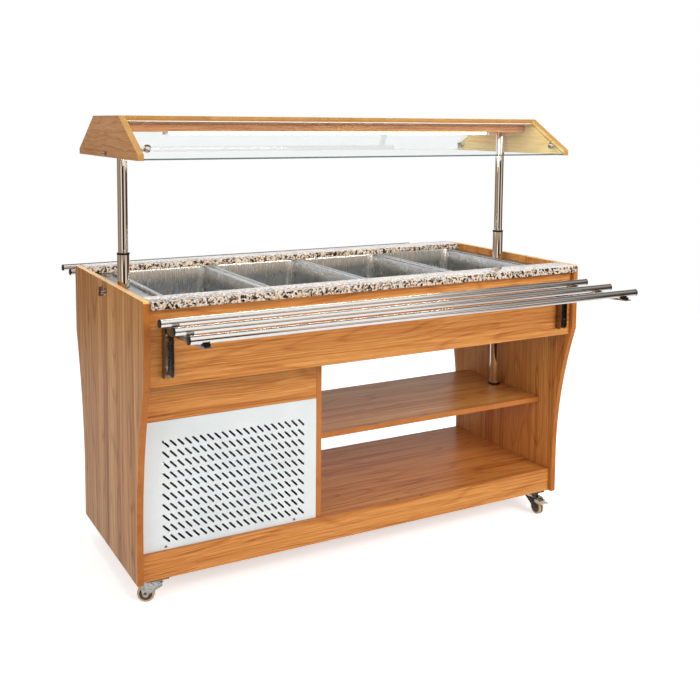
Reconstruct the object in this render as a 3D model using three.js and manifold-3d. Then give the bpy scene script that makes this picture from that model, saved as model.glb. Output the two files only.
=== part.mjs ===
// Mobile refrigerated salad bar with folding tray slides and a sliding canopy.
// Millimetres, +Z up. The origin is on the floor under the centre of the cabinet; the front looks along -Y.
import * as THREE from 'three';
import { mergeVertices } from 'three/addons/utils/BufferGeometryUtils.js';
import Module from 'manifold-3d';

const wasm = await Module();
wasm.setup();

// ---------------------------------------------------------------- driving dimensions

const GAP = 0.3; // clearance left between pieces that touch

// cabinet
const HALF_LENGTH = 750; // outer faces of the end panels
const BOARD = 18; // laminated board
const UNDERSIDE = 74; // cabinet underside above the floor
const WORKTOP = 882; // granite and end-panel tops
const TOP_HALF_DEPTH = 360; // end panel, upper part
const FOOT_HALF_DEPTH = 280; // end panel, lower part
const BREAK_Z = 668; // where the end panel starts to draw in
const FOOT_Z = 240; // where it runs straight again
const CORNER_R = 12;
const APRON_FACE = 346; // apron front face from the centre plane
const APRON_Z = 647; // apron lower edge
const PLINTH_FACE = 266;
const BASE_TOP = 152; // top of the base shelf and the plinths
const BAY_FACE = 256; // grille and divider face
const GRILLE_TOP = 524;
const DIVIDER_X = -184; // left face of the divider
const SHELF_TOP = 394;
const SHELF_HALF_DEPTH = 208;

// worktop, well and pans
const DECK_Z = 860; // stainless deck surface
const DECK_SHEET = 3;
const DECK_HALF_DEPTH = 327;
const GRANITE_OUTER = 376;
const GRANITE_INNER = 282;
const PAN_PITCH = 331;
const PAN_LENGTH = 530; // gastronorm 1/1 rim, front to back
const PAN_WIDTH = 325; // gastronorm 1/1 rim, along the cabinet
const PAN_DEPTH = 150;
const PAN_LIP = 8; // height of the turned-down rim
const PAN_RIM = 12; // width of the flat rim
const PAN_WALL = 1.5;
const PAN_DRAFT = 10; // how much narrower each side of the pan is at its floor
const PAN_COUNT = 4;
const CROSSBAR_WIDTH = 20;
const WELL_HALF_X = 650;
const WELL_HALF_Y = 256;
const WELL_FLOOR = 700;
const WELL_WALL = 3;
const JACKET_HALF_X = 672;
const JACKET_HALF_Y = 300;
const JACKET_FLOOR = 652;

// posts and canopy
const POST_X = 696;
const POST_R = 15;
const SLEEVE_R = 18;
const SLEEVE_BORE = 15.5;
const SLEEVE_TOP = 957;
const POST_FOOT = 762; // lower end of the inner tube
const CANOPY_OUTER = 744;
const CANOPY_TOP = 1367;
const CANOPY_BOTTOM = 1247;
const CANOPY_FACET = 17.5;
const CANOPY_TOP_HALF = 132;
const CANOPY_FOOT_HALF = 303;
const CANOPY_BOARD = 16;
const FASCIA_Y = 97;
const FASCIA = 12;
const FASCIA_FOOT = 1319;
const PANE = 5;
const LAMP_Y = -60;
const LAMP_Z = 1319;
const LAMP_HALF = 590;
const CLAMP_Z = 852;

// tray slides
const RAIL_HALF = 730;
const RAIL_R = 11;
const RAIL_Z = 835;
const RAIL_YS = [420, 527, 634];
const BRACKET_X = 684;
const HINGE_Y = 362;
const HINGE_Z = 806;
const ARM_TIP = 652;

// casters
const WHEEL_R = 25;
const TRAIL = 28;
const CASTER_X = 684;
const CASTER_Y = 238;
const CASTERS = [
  { name: 'front_left', x: -CASTER_X, y: -CASTER_Y, trailDeg: 153, brake: false },
  { name: 'front_right', x: CASTER_X, y: -CASTER_Y, trailDeg: -90, brake: true },
  { name: 'rear_left', x: -CASTER_X, y: CASTER_Y, trailDeg: 35, brake: true },
  { name: 'rear_right', x: CASTER_X, y: CASTER_Y, trailDeg: 120, brake: false },
];

// ---------------------------------------------------------------- finishes

const FINISHES = {
  wood: { color: 0xc8844e, roughness: 0.5, metalness: 0 },
  canopyWood: { color: 0xc98a52, roughness: 0.5, metalness: 0 },
  granite: { color: 0xb9b2a8, roughness: 0.25, metalness: 0 },
  steel: { color: 0xc4c8ca, roughness: 0.3, metalness: 1 },
  polishedSteel: { color: 0xd2d2d0, roughness: 0.1, metalness: 1 },
  whitePaint: { color: 0xdfe2e0, roughness: 0.45, metalness: 0.1 },
  darkMetal: { color: 0x4a4038, roughness: 0.4, metalness: 0.8 },
  zinc: { color: 0xb7b9b6, roughness: 0.35, metalness: 0.9 },
  tread: { color: 0xc2a27c, roughness: 0.6, metalness: 0 },
  glass: { color: 0xdfeeea, roughness: 0.05, metalness: 0 },
  lamp: { color: 0xfff3d0, roughness: 0.4, metalness: 0 },
  foam: { color: 0xd8d2bd, roughness: 0.9, metalness: 0 },
  black: { color: 0x1d1d1e, roughness: 0.5, metalness: 0 },
};

const object = new THREE.Group();

function place(name, geometry, finish, parent = object) {
  const mesh = new THREE.Mesh(geometry, new THREE.MeshStandardMaterial(FINISHES[finish]));
  mesh.name = name;
  parent.add(mesh);
  return mesh;
}

// ---------------------------------------------------------------- shape helpers

function block(x0, x1, y0, y1, z0, z1) {
  const geometry = new THREE.BoxGeometry(x1 - x0, y1 - y0, z1 - z0);
  return geometry.translate((x0 + x1) / 2, (y0 + y1) / 2, (z0 + z1) / 2);
}

// an outline in the Y-Z plane carried from x0 to x1
function alongX(shape, x0, x1, curveSegments = 8) {
  const geometry = new THREE.ExtrudeGeometry(shape, { depth: x1 - x0, bevelEnabled: false, curveSegments });
  return geometry.applyMatrix4(new THREE.Matrix4().set(0, 0, 1, x0, 1, 0, 0, 0, 0, 1, 0, 0, 0, 0, 0, 1));
}

// an outline in the X-Z plane carried from y0 to y1
function alongY(shape, y0, y1, curveSegments = 8) {
  const geometry = new THREE.ExtrudeGeometry(shape, { depth: y1 - y0, bevelEnabled: false, curveSegments });
  return geometry.rotateX(Math.PI / 2).translate(0, y1, 0);
}

function outline(points) {
  return new THREE.Shape(points.map(([u, v]) => new THREE.Vector2(u, v)));
}

// a closed ring or solid of revolution about Z; profile points are [radius, z]
function turned(profile, segments) {
  const points = profile.map(([r, z]) => new THREE.Vector2(r, z));
  return new THREE.LatheGeometry(points, segments).rotateX(Math.PI / 2);
}

function ring(inner, outer, z0, z1, segments) {
  return turned([[inner, z0], [outer, z0], [outer, z1], [inner, z1], [inner, z0]], segments);
}

function rod(radius, z0, z1, segments) {
  return turned([[0, z0], [radius, z0], [radius, z1], [0, z1]], segments);
}

function rodX(radius, x0, x1, y, z, segments) {
  return rod(radius, x0, x1, segments).rotateY(Math.PI / 2).translate(0, y, z);
}

function rodY(radius, y0, y1, x, z, segments) {
  return rod(radius, -y1, -y0, segments).rotateX(Math.PI / 2).translate(x, 0, z);
}

function roundedRect(halfX, halfY, radius) {
  const shape = new THREE.Shape();
  shape.moveTo(halfX - radius, -halfY);
  shape.absarc(halfX - radius, -halfY + radius, radius, -Math.PI / 2, 0, false);
  shape.absarc(halfX - radius, halfY - radius, radius, 0, Math.PI / 2, false);
  shape.absarc(-halfX + radius, halfY - radius, radius, Math.PI / 2, Math.PI, false);
  shape.absarc(-halfX + radius, -halfY + radius, radius, Math.PI, 1.5 * Math.PI, false);
  return shape;
}

// ---------------------------------------------------------------- booleans

function solid(geometry) {
  const bare = geometry.index ? geometry.clone() : geometry;
  bare.deleteAttribute('normal');
  bare.deleteAttribute('uv');
  const merged = mergeVertices(bare, 1e-4);
  const mesh = new wasm.Mesh({
    numProp: 3,
    vertProperties: new Float32Array(merged.attributes.position.array),
    triVerts: new Uint32Array(merged.index.array),
  });
  mesh.merge();
  return new wasm.Manifold(mesh);
}

function surface(manifold) {
  const mesh = manifold.getMesh();
  const geometry = new THREE.BufferGeometry();
  geometry.setAttribute('position', new THREE.BufferAttribute(new Float32Array(mesh.vertProperties), 3));
  geometry.setIndex(new THREE.BufferAttribute(new Uint32Array(mesh.triVerts), 1));
  geometry.computeVertexNormals();
  return geometry;
}

function joined(first, ...others) {
  return surface(others.reduce((sum, g) => sum.add(solid(g)), solid(first)));
}

function cut(body, ...tools) {
  return surface(tools.reduce((left, g) => left.subtract(solid(g)), solid(body)));
}

// ---------------------------------------------------------------- end panels

function endPanelOutline() {
  const shape = new THREE.Shape();
  shape.moveTo(-FOOT_HALF_DEPTH, UNDERSIDE);
  shape.lineTo(FOOT_HALF_DEPTH, UNDERSIDE);
  shape.lineTo(FOOT_HALF_DEPTH, FOOT_Z);
  shape.quadraticCurveTo(FOOT_HALF_DEPTH + 5, 450, TOP_HALF_DEPTH, BREAK_Z);
  shape.lineTo(TOP_HALF_DEPTH, WORKTOP - CORNER_R);
  shape.quadraticCurveTo(TOP_HALF_DEPTH, WORKTOP, TOP_HALF_DEPTH - CORNER_R, WORKTOP);
  shape.lineTo(-TOP_HALF_DEPTH + CORNER_R, WORKTOP);
  shape.quadraticCurveTo(-TOP_HALF_DEPTH, WORKTOP, -TOP_HALF_DEPTH, WORKTOP - CORNER_R);
  shape.lineTo(-TOP_HALF_DEPTH, BREAK_Z);
  shape.quadraticCurveTo(-FOOT_HALF_DEPTH - 5, 450, -FOOT_HALF_DEPTH, FOOT_Z);
  return shape;
}

const CLAMP_HOLE_R = 4.8;
const INNER_FACE = HALF_LENGTH - BOARD; // inner face of an end panel
const BETWEEN = INNER_FACE - GAP; // half-length of what fits between the end panels

for (const [side, x0] of [['left', -HALF_LENGTH], ['right', INNER_FACE]]) {
  const panel = alongX(endPanelOutline(), x0, x0 + BOARD);
  const clampHole = rodX(CLAMP_HOLE_R, x0 - 1, x0 + BOARD + 1, 0, CLAMP_Z, 16);
  place(`end_panel_${side}`, cut(panel, clampHole), 'wood');
}

// ---------------------------------------------------------------- carcass boards

const APRON_TOP = DECK_Z + 1 - GAP; // the granite lies on the aprons and the deck
const BOARD_TOP = JACKET_FLOOR - GAP;
const CONTROL_X = -470;
const CONTROL_Z = 588;
const CONTROL_CUTOUT = { halfX: 83, halfZ: 30 };

place('apron_front', block(-BETWEEN, BETWEEN, -APRON_FACE, -APRON_FACE + BOARD, APRON_Z, APRON_TOP), 'wood');
place('apron_rear', block(-BETWEEN, BETWEEN, APRON_FACE - BOARD, APRON_FACE, APRON_Z, APRON_TOP), 'wood');

const frontBoard = block(-BETWEEN, DIVIDER_X, -BAY_FACE, -BAY_FACE + BOARD, GRILLE_TOP, BOARD_TOP);
const rearBoard = block(-BETWEEN, DIVIDER_X, BAY_FACE - BOARD, BAY_FACE, GRILLE_TOP, BOARD_TOP);
const controlCutout = block(
  CONTROL_X - CONTROL_CUTOUT.halfX, CONTROL_X + CONTROL_CUTOUT.halfX,
  BAY_FACE - BOARD - 1, BAY_FACE + 1,
  CONTROL_Z - CONTROL_CUTOUT.halfZ, CONTROL_Z + CONTROL_CUTOUT.halfZ,
);
place('compartment_board_front', frontBoard, 'wood');
place('compartment_board_rear', cut(rearBoard, controlCutout), 'wood');

place('divider_panel', block(
  DIVIDER_X + GAP, DIVIDER_X + BOARD, -BAY_FACE, BAY_FACE, BASE_TOP + GAP, BOARD_TOP,
), 'wood');
place('upper_shelf', block(
  DIVIDER_X + BOARD + GAP, BETWEEN, -SHELF_HALF_DEPTH, SHELF_HALF_DEPTH, SHELF_TOP - 17, SHELF_TOP,
), 'wood');
place('base_shelf', block(
  -BETWEEN, BETWEEN, -(PLINTH_FACE - BOARD - GAP), PLINTH_FACE - BOARD - GAP, BASE_TOP - BOARD, BASE_TOP,
), 'wood');

// the base is a glued tray: a bottom board with a plinth board along its front and back edges
place('plinth_base', joined(
  block(-BETWEEN, BETWEEN, -PLINTH_FACE, PLINTH_FACE, UNDERSIDE, UNDERSIDE + BOARD),
  block(-BETWEEN, BETWEEN, -PLINTH_FACE, -PLINTH_FACE + BOARD, UNDERSIDE, BASE_TOP),
  block(-BETWEEN, BETWEEN, PLINTH_FACE - BOARD, PLINTH_FACE, UNDERSIDE, BASE_TOP),
), 'wood');

// ---------------------------------------------------------------- ventilation grilles

const GRILLE_SHEET = 1.5;
const SLOT = { rows: 10, firstX: -658, pitchX: 22.26, firstZ: 457, pitchZ: 30.4 };
const INTAKE_COLUMNS = [0, 20]; // the front grille is slotted all over
const OUTLET_COLUMNS = [5, 15]; // the rear one only in its middle
const SLOT_REACH = 10; // half the slot's length along X and along Z
const SLOT_HALF_WIDTH = 3;

function grille(y0, [firstColumn, endColumn]) {
  const plate = outline([
    [-BETWEEN, BASE_TOP + GAP], [DIVIDER_X, BASE_TOP + GAP],
    [DIVIDER_X, GRILLE_TOP - GAP], [-BETWEEN, GRILLE_TOP - GAP],
  ]);
  const w = SLOT_HALF_WIDTH * Math.SQRT1_2;
  for (let column = firstColumn; column < endColumn; column += 1) {
    for (let row = 0; row < SLOT.rows; row += 1) {
      const x = SLOT.firstX + column * SLOT.pitchX;
      const z = SLOT.firstZ - row * SLOT.pitchZ;
      plate.holes.push(new THREE.Path([
        new THREE.Vector2(x - SLOT_REACH - w, z + SLOT_REACH - w),
        new THREE.Vector2(x - SLOT_REACH + w, z + SLOT_REACH + w),
        new THREE.Vector2(x + SLOT_REACH + w, z - SLOT_REACH + w),
        new THREE.Vector2(x + SLOT_REACH - w, z - SLOT_REACH - w),
      ]));
    }
  }
  return alongY(plate, y0, y0 + GRILLE_SHEET);
}

place('grille_front', grille(-BAY_FACE, INTAKE_COLUMNS), 'whitePaint');
place('grille_rear', grille(BAY_FACE - GRILLE_SHEET, OUTLET_COLUMNS), 'whitePaint');

// ---------------------------------------------------------------- granite rails

for (const [side, y0] of [['front', -GRANITE_OUTER], ['rear', GRANITE_INNER]]) {
  const slab = block(-BETWEEN, BETWEEN, y0, y0 + GRANITE_OUTER - GRANITE_INNER, DECK_Z + 1, WORKTOP);
  place(`granite_${side}`, slab, 'granite');
}

// ---------------------------------------------------------------- stainless well and its insulation

const crossbars = [-PAN_PITCH, 0, PAN_PITCH].map((x) => block(
  x - CROSSBAR_WIDTH / 2, x + CROSSBAR_WIDTH / 2, -WELL_HALF_Y - 1, WELL_HALF_Y + 1, DECK_Z - 12, DECK_Z,
));
const deckAndTank = joined(
  block(-BETWEEN, BETWEEN, -DECK_HALF_DEPTH, DECK_HALF_DEPTH, DECK_Z - DECK_SHEET, DECK_Z),
  block(
    -WELL_HALF_X - WELL_WALL, WELL_HALF_X + WELL_WALL,
    -WELL_HALF_Y - WELL_WALL, WELL_HALF_Y + WELL_WALL,
    WELL_FLOOR - WELL_WALL, DECK_Z - 1,
  ),
);
const hollowed = cut(
  deckAndTank,
  block(-WELL_HALF_X, WELL_HALF_X, -WELL_HALF_Y, WELL_HALF_Y, WELL_FLOOR, DECK_Z + 1),
  rod(SLEEVE_R + 0.6, DECK_Z - 10, DECK_Z + 10, 28).translate(-POST_X, 0, 0),
  rod(SLEEVE_R + 0.6, DECK_Z - 10, DECK_Z + 10, 28).translate(POST_X, 0, 0),
);
place('well', joined(hollowed, ...crossbars), 'steel');

place('insulation', cut(
  block(-JACKET_HALF_X, JACKET_HALF_X, -JACKET_HALF_Y, JACKET_HALF_Y, JACKET_FLOOR, DECK_Z - DECK_SHEET - GAP),
  block(
    -WELL_HALF_X - WELL_WALL - GAP, WELL_HALF_X + WELL_WALL + GAP,
    -WELL_HALF_Y - WELL_WALL - GAP, WELL_HALF_Y + WELL_WALL + GAP,
    WELL_FLOOR - WELL_WALL - GAP, DECK_Z + 1,
  ),
), 'foam');

// ---------------------------------------------------------------- gastronorm pans

// a rounded block that narrows towards its floor
function taperedBlock(halfX, halfY, radius, z0, z1, draft) {
  const geometry = new THREE.ExtrudeGeometry(roundedRect(halfX, halfY, radius), {
    depth: z1 - z0, bevelEnabled: false, curveSegments: 2,
  });
  const position = geometry.attributes.position;
  for (let i = 0; i < position.count; i += 1) {
    if (position.getZ(i) < 1e-3) {
      position.setX(i, position.getX(i) * (1 - draft / halfX));
      position.setY(i, position.getY(i) * (1 - draft / halfY));
    }
  }
  return geometry.translate(0, 0, z0);
}

function pan() {
  const halfX = PAN_WIDTH / 2;
  const halfY = PAN_LENGTH / 2;
  const cavityX = halfX - PAN_RIM;
  const cavityY = halfY - PAN_RIM;
  const lip = taperedBlock(halfX, halfY, 14, -PAN_LIP, 0, 0);
  const lipHollow = taperedBlock(halfX - PAN_WALL, halfY - PAN_WALL, 13, -PAN_LIP - 1, -PAN_WALL, 0);
  const shell = taperedBlock(cavityX + PAN_WALL, cavityY + PAN_WALL, 26, -PAN_DEPTH, -PAN_WALL / 2, PAN_DRAFT);
  const cavity = taperedBlock(cavityX, cavityY, 25, PAN_WALL - PAN_DEPTH, 1, PAN_DRAFT);
  return surface(solid(lip).subtract(solid(lipHollow)).add(solid(shell)).subtract(solid(cavity)));
}

const RIM_TOP = DECK_Z + GAP + PAN_LIP;
for (let i = 0; i < PAN_COUNT; i += 1) {
  const mesh = place(`pan_${i + 1}`, pan(), 'steel');
  mesh.position.set((i - (PAN_COUNT - 1) / 2) * PAN_PITCH, 0, RIM_TOP);
}

// ---------------------------------------------------------------- telescopic posts and clamp screws

function sleeve(foot, side) {
  const body = turned([
    [SLEEVE_BORE, foot], [22, foot], [22, foot + 5], [SLEEVE_R, foot + 5], [SLEEVE_R, SLEEVE_TOP],
    [20, SLEEVE_TOP], [20, SLEEVE_TOP + 8], [SLEEVE_BORE, SLEEVE_TOP + 8], [SLEEVE_BORE, foot],
  ], 28);
  return cut(body, rodX(CLAMP_HOLE_R, Math.min(0, side * 30), Math.max(0, side * 30), 0, CLAMP_Z, 12));
}

function clampScrew() {
  const tip = POST_X + POST_R + 1.2;
  return joined(
    rodX(4, tip, HALF_LENGTH + 4, 0, 0, 12),
    rodX(11, HALF_LENGTH + GAP, HALF_LENGTH + 3, 0, 0, 20),
    rodX(6, HALF_LENGTH + 2, HALF_LENGTH + 14, 0, 0, 12),
    block(HALF_LENGTH + 8, HALF_LENGTH + 22, -4, 4, -12, 20), // the wing
  );
}

for (const [side, sign, foot] of [['left', -1, BASE_TOP + GAP], ['right', 1, SHELF_TOP + GAP]]) {
  const sleeveMesh = place(`post_sleeve_${side}`, sleeve(foot, sign), 'polishedSteel');
  sleeveMesh.position.x = sign * POST_X;
  const screw = place(`clamp_screw_${side}`, clampScrew(), 'zinc');
  screw.position.z = CLAMP_Z;
  screw.rotation.z = sign < 0 ? Math.PI : 0;
}

// ---------------------------------------------------------------- canopy

const canopy = new THREE.Group();
object.add(canopy);

for (const [side, sign] of [['left', -1], ['right', 1]]) {
  const tube = place(`post_${side}`, ring(POST_R - 1.5, POST_R, POST_FOOT, CANOPY_TOP - CANOPY_BOARD - GAP, 28),
    'polishedSteel', canopy);
  tube.position.x = sign * POST_X;
}

function canopyEndOutline() {
  return outline([
    [-CANOPY_FOOT_HALF, CANOPY_BOTTOM], [CANOPY_FOOT_HALF, CANOPY_BOTTOM],
    [CANOPY_FOOT_HALF, CANOPY_BOTTOM + CANOPY_FACET], [CANOPY_TOP_HALF, CANOPY_TOP],
    [-CANOPY_TOP_HALF, CANOPY_TOP], [-CANOPY_FOOT_HALF, CANOPY_BOTTOM + CANOPY_FACET],
  ]);
}
place('canopy_end_left', alongX(canopyEndOutline(), -CANOPY_OUTER, -CANOPY_OUTER + BOARD), 'canopyWood', canopy);
place('canopy_end_right', alongX(canopyEndOutline(), CANOPY_OUTER - BOARD, CANOPY_OUTER), 'canopyWood', canopy);

// top board with the two fascia boards that hang from it, each side of the lamp
const CANOPY_BETWEEN = CANOPY_OUTER - BOARD - GAP;
const ROOF_HALF = CANOPY_TOP_HALF + 4;
const ROOF_UNDERSIDE = CANOPY_TOP - CANOPY_BOARD;
const canopyTop = joined(
  block(-CANOPY_BETWEEN, CANOPY_BETWEEN, -ROOF_HALF, ROOF_HALF, ROOF_UNDERSIDE, CANOPY_TOP),
  block(-CANOPY_BETWEEN, CANOPY_BETWEEN, -FASCIA_Y, -FASCIA_Y + FASCIA, FASCIA_FOOT, ROOF_UNDERSIDE + 1),
  block(-CANOPY_BETWEEN, CANOPY_BETWEEN, FASCIA_Y - FASCIA, FASCIA_Y, FASCIA_FOOT, ROOF_UNDERSIDE + 1),
);
place('canopy_top', canopyTop, 'canopyWood', canopy);

// each pane lies in the slope of the end panels, from just under the top board to their lower facets
const SLOPE = Math.atan2(CANOPY_TOP - CANOPY_BOTTOM - CANOPY_FACET, CANOPY_FOOT_HALF - CANOPY_TOP_HALF);
const PANE_TOP = { y: -(ROOF_HALF + 4), z: ROOF_UNDERSIDE - 2 };
const PANE_LENGTH = 188;
for (const [side, turn] of [['front', 0], ['rear', Math.PI]]) {
  const pane = place(`glass_${side}`, block(
    -CANOPY_BETWEEN, CANOPY_BETWEEN, -PANE_LENGTH, 0, -PANE, 0,
  ).rotateX(SLOPE).translate(0, PANE_TOP.y, PANE_TOP.z), 'glass', canopy);
  pane.rotation.z = turn;
}

// lamp tube in its two sockets under the top board
const lampSocket = (x0) => block(x0, x0 + 12, LAMP_Y - 11, LAMP_Y + 11, LAMP_Z - 9, ROOF_UNDERSIDE - GAP);
place('lamp', joined(
  rodX(8, -LAMP_HALF + 6, LAMP_HALF - 6, LAMP_Y, LAMP_Z, 14),
  lampSocket(-LAMP_HALF),
  lampSocket(LAMP_HALF - 12),
), 'lamp', canopy);

// ---------------------------------------------------------------- tray slides

const CHANNEL_HALF = 13.5;
const CHANNEL_FOOT = 672;
const CHANNEL_HEAD = 822;
const CHANNEL_LIP = 372; // how far the side flanges stand out
const CHANNEL_SHEET = 2.5;
const ARM_HALF = 10;
const PIN_R = 4;

// wall channel of the folding bracket: a back plate with two side flanges that carry the hinge pin
function wallChannel() {
  const back = APRON_FACE + GAP;
  const section = outline([
    [-CHANNEL_HALF, -back], [-CHANNEL_HALF, -CHANNEL_LIP],
    [-CHANNEL_HALF + CHANNEL_SHEET, -CHANNEL_LIP], [-CHANNEL_HALF + CHANNEL_SHEET, -back - CHANNEL_SHEET],
    [CHANNEL_HALF - CHANNEL_SHEET, -back - CHANNEL_SHEET], [CHANNEL_HALF - CHANNEL_SHEET, -CHANNEL_LIP],
    [CHANNEL_HALF, -CHANNEL_LIP], [CHANNEL_HALF, -back],
  ]);
  const channel = new THREE.ExtrudeGeometry(section, { depth: CHANNEL_HEAD - CHANNEL_FOOT, bevelEnabled: false });
  channel.translate(0, 0, CHANNEL_FOOT);
  const footCorner = outline([
    [-CHANNEL_LIP - 1, CHANNEL_FOOT - 1], [-CHANNEL_LIP + 8, CHANNEL_FOOT - 1], [-CHANNEL_LIP - 1, CHANNEL_FOOT + 9],
  ]);
  return cut(
    channel,
    alongX(footCorner, -CHANNEL_HALF - 1, CHANNEL_HALF + 1),
    rodX(PIN_R + 0.4, -CHANNEL_HALF - 1, CHANNEL_HALF + 1, -HINGE_Y, HINGE_Z, 16),
    block(-6, 6, -APRON_FACE - 8, -APRON_FACE + 1, 766, 776),
    rodY(4, -APRON_FACE - 8, -APRON_FACE + 1, 0, 687, 12),
  );
}

// folding arm: a tapering channel, open below, with its hinge pin and three rail seats
function trayArm() {
  const crown = 12; // arm top above the hinge axis
  const side = new THREE.Shape();
  side.moveTo(-HINGE_Y, HINGE_Z + crown);
  side.lineTo(-ARM_TIP, HINGE_Z + crown);
  side.lineTo(-ARM_TIP, HINGE_Z + 9);
  side.lineTo(-HINGE_Y, HINGE_Z - crown);
  side.absarc(-HINGE_Y, HINGE_Z, crown, -Math.PI / 2, Math.PI / 2, false);
  const trough = outline([
    [-HINGE_Y - 16, HINGE_Z + crown - CHANNEL_SHEET], [-HINGE_Y - 16, HINGE_Z - 2 * crown],
    [-ARM_TIP + 12, HINGE_Z - 2 * crown], [-ARM_TIP + 12, HINGE_Z + crown - CHANNEL_SHEET],
  ]);
  const bar = cut(
    alongX(side, -ARM_HALF, ARM_HALF, 6),
    alongX(trough, -ARM_HALF + CHANNEL_SHEET, ARM_HALF - CHANNEL_SHEET),
  );
  const seats = RAIL_YS.map((y) => block(-9, 9, -y - 9, -y + 9, HINGE_Z + crown - 1, RAIL_Z - RAIL_R - GAP));
  const pin = rodX(PIN_R, -CHANNEL_HALF, CHANNEL_HALF, -HINGE_Y, HINGE_Z, 16);
  return joined(bar, pin, ...seats);
}

for (const [side, turn] of [['front', 0], ['rear', Math.PI]]) {
  const slide = new THREE.Group();
  slide.rotation.z = turn;
  object.add(slide);
  // a rear bracket is the front one turned round, so its left end is the front one's right
  for (const [end, x] of [['left', -BRACKET_X], ['right', BRACKET_X]]) {
    const localX = turn === 0 ? x : -x;
    place(`bracket_channel_${side}_${end}`, wallChannel(), 'darkMetal', slide).position.x = localX;
    place(`tray_arm_${side}_${end}`, trayArm(), 'zinc', slide).position.x = localX;
  }
  RAIL_YS.forEach((y, i) => {
    const tube = ring(RAIL_R - 1.5, RAIL_R, -RAIL_HALF, RAIL_HALF, 16).rotateY(Math.PI / 2);
    place(`tray_rail_${side}_${i + 1}`, tube, 'steel', slide).position.set(0, -y, RAIL_Z);
  });
}

// ---------------------------------------------------------------- casters

const FORK_INNER = 11;
const FORK_SHEET = 2.5;
const FORK_OUTER = FORK_INNER + FORK_SHEET;
const CROWN_Z = 57;
const AXLE_R = 4;
const PEDAL_PIVOT = { x: -TRAIL - 9, z: 49 };

function casterFork(braked) {
  const leg = new THREE.Shape();
  leg.moveTo(-TRAIL - 14, CROWN_Z + 3);
  leg.lineTo(-TRAIL - 14, 44);
  leg.lineTo(-TRAIL - 9, WHEEL_R);
  leg.absarc(-TRAIL, WHEEL_R, 9, Math.PI, 2 * Math.PI, false);
  leg.lineTo(20, 50);
  leg.lineTo(20, CROWN_Z + 3);
  const fork = joined(
    block(-TRAIL - 14, 20, -FORK_OUTER, FORK_OUTER, CROWN_Z, CROWN_Z + 3),
    alongY(leg, -FORK_OUTER, -FORK_INNER, 6),
    alongY(leg, FORK_INNER, FORK_OUTER, 6),
    turned([[0, CROWN_Z], [19, CROWN_Z], [23, 64], [23, UNDERSIDE - GAP], [0, UNDERSIDE - GAP]], 20),
    rodY(AXLE_R, -FORK_OUTER, FORK_OUTER, -TRAIL, WHEEL_R, 12),
  );
  if (!braked) return fork;
  return cut(fork, rodY(3, -FORK_OUTER - 1, -FORK_INNER + 1, PEDAL_PIVOT.x, PEDAL_PIVOT.z, 10),
    rodY(3, FORK_INNER - 1, FORK_OUTER + 1, PEDAL_PIVOT.x, PEDAL_PIVOT.z, 10));
}

// the tread's flats touch the wheel's true radius, and one flat lies on the floor
function casterWheel() {
  const sides = 24;
  const bore = AXLE_R + 0.4;
  const half = 10;
  const tread = WHEEL_R / Math.cos(Math.PI / sides);
  return turned([
    [bore, -half], [14, -half], [17, -half + 2], [tread - 1.5, -half + 2], [tread, -5],
    [tread, 5], [tread - 1.5, half - 2], [17, half - 2], [14, half], [bore, half], [bore, -half],
  ], sides).rotateZ(Math.PI / sides).rotateX(Math.PI / 2);
}

// brake pedal: a tread plate outside the fork, two ears beside the legs, and a pivot stub in each leg
function brakePedal() {
  const ear = (y0) => block(PEDAL_PIVOT.x - 13, PEDAL_PIVOT.x + 5, y0, y0 + 2, 44, 54);
  const stub = (y0) => rodY(2.6, y0, y0 + 3, PEDAL_PIVOT.x, PEDAL_PIVOT.z, 10);
  const reach = FORK_OUTER + 0.5;
  return joined(
    block(PEDAL_PIVOT.x - 33, PEDAL_PIVOT.x - 11, -reach - 2, reach + 2, 46, 49),
    ear(-reach - 2), ear(reach),
    stub(-reach - 0.5), stub(reach - 2.5),
  );
}

for (const { name, x, y, trailDeg, brake } of CASTERS) {
  const caster = new THREE.Group();
  caster.position.set(x, y, 0);
  caster.rotation.z = THREE.MathUtils.degToRad(trailDeg - 180);
  object.add(caster);
  place(`caster_fork_${name}`, casterFork(brake), 'zinc', caster);
  place(`caster_wheel_${name}`, casterWheel(), 'tread', caster).position.set(-TRAIL, 0, WHEEL_R);
  if (brake) place(`brake_pedal_${name}`, brakePedal(), 'zinc', caster);
}

// ---------------------------------------------------------------- refrigeration unit and controls

const UNIT_FLOOR = BASE_TOP + GAP;
const FAN = { x: -470, y: -177, z: 305, reach: 88 };

place('compressor', turned([
  [0, 0], [66, 0], [76, 14], [80, 60], [80, 84], [76, 120], [58, 152], [30, 166], [0, 170],
], 16), 'black').position.set(-400, 90, UNIT_FLOOR);

const spokes = [0, 1, 2].map((i) => block(0, 99, -4, 4, -3, 3)
  .rotateZ((i * 2 * Math.PI) / 3).rotateX(Math.PI / 2).translate(FAN.x, -157, FAN.z));
place('condenser', joined(
  block(-640, -300, -236, -196, UNIT_FLOOR, 445),
  ring(97, 101, 150, 197, 28).rotateX(Math.PI / 2).translate(FAN.x, 0, FAN.z),
  ...spokes,
  rodY(30, -160, -112, FAN.x, FAN.z, 20),
), 'steel');

const blades = [0, 1, 2, 3, 4].map((i) => new THREE.BoxGeometry(66, 42, 2.4)
  .rotateX(0.6).translate(FAN.reach - 33, 0, 0).rotateZ((i * 2 * Math.PI) / 5));
place('fan', joined(rod(25, -10, 15, 20), ...blades), 'black')
  .applyMatrix4(new THREE.Matrix4().makeRotationX(-Math.PI / 2).setPosition(FAN.x, FAN.y, FAN.z));

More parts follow.
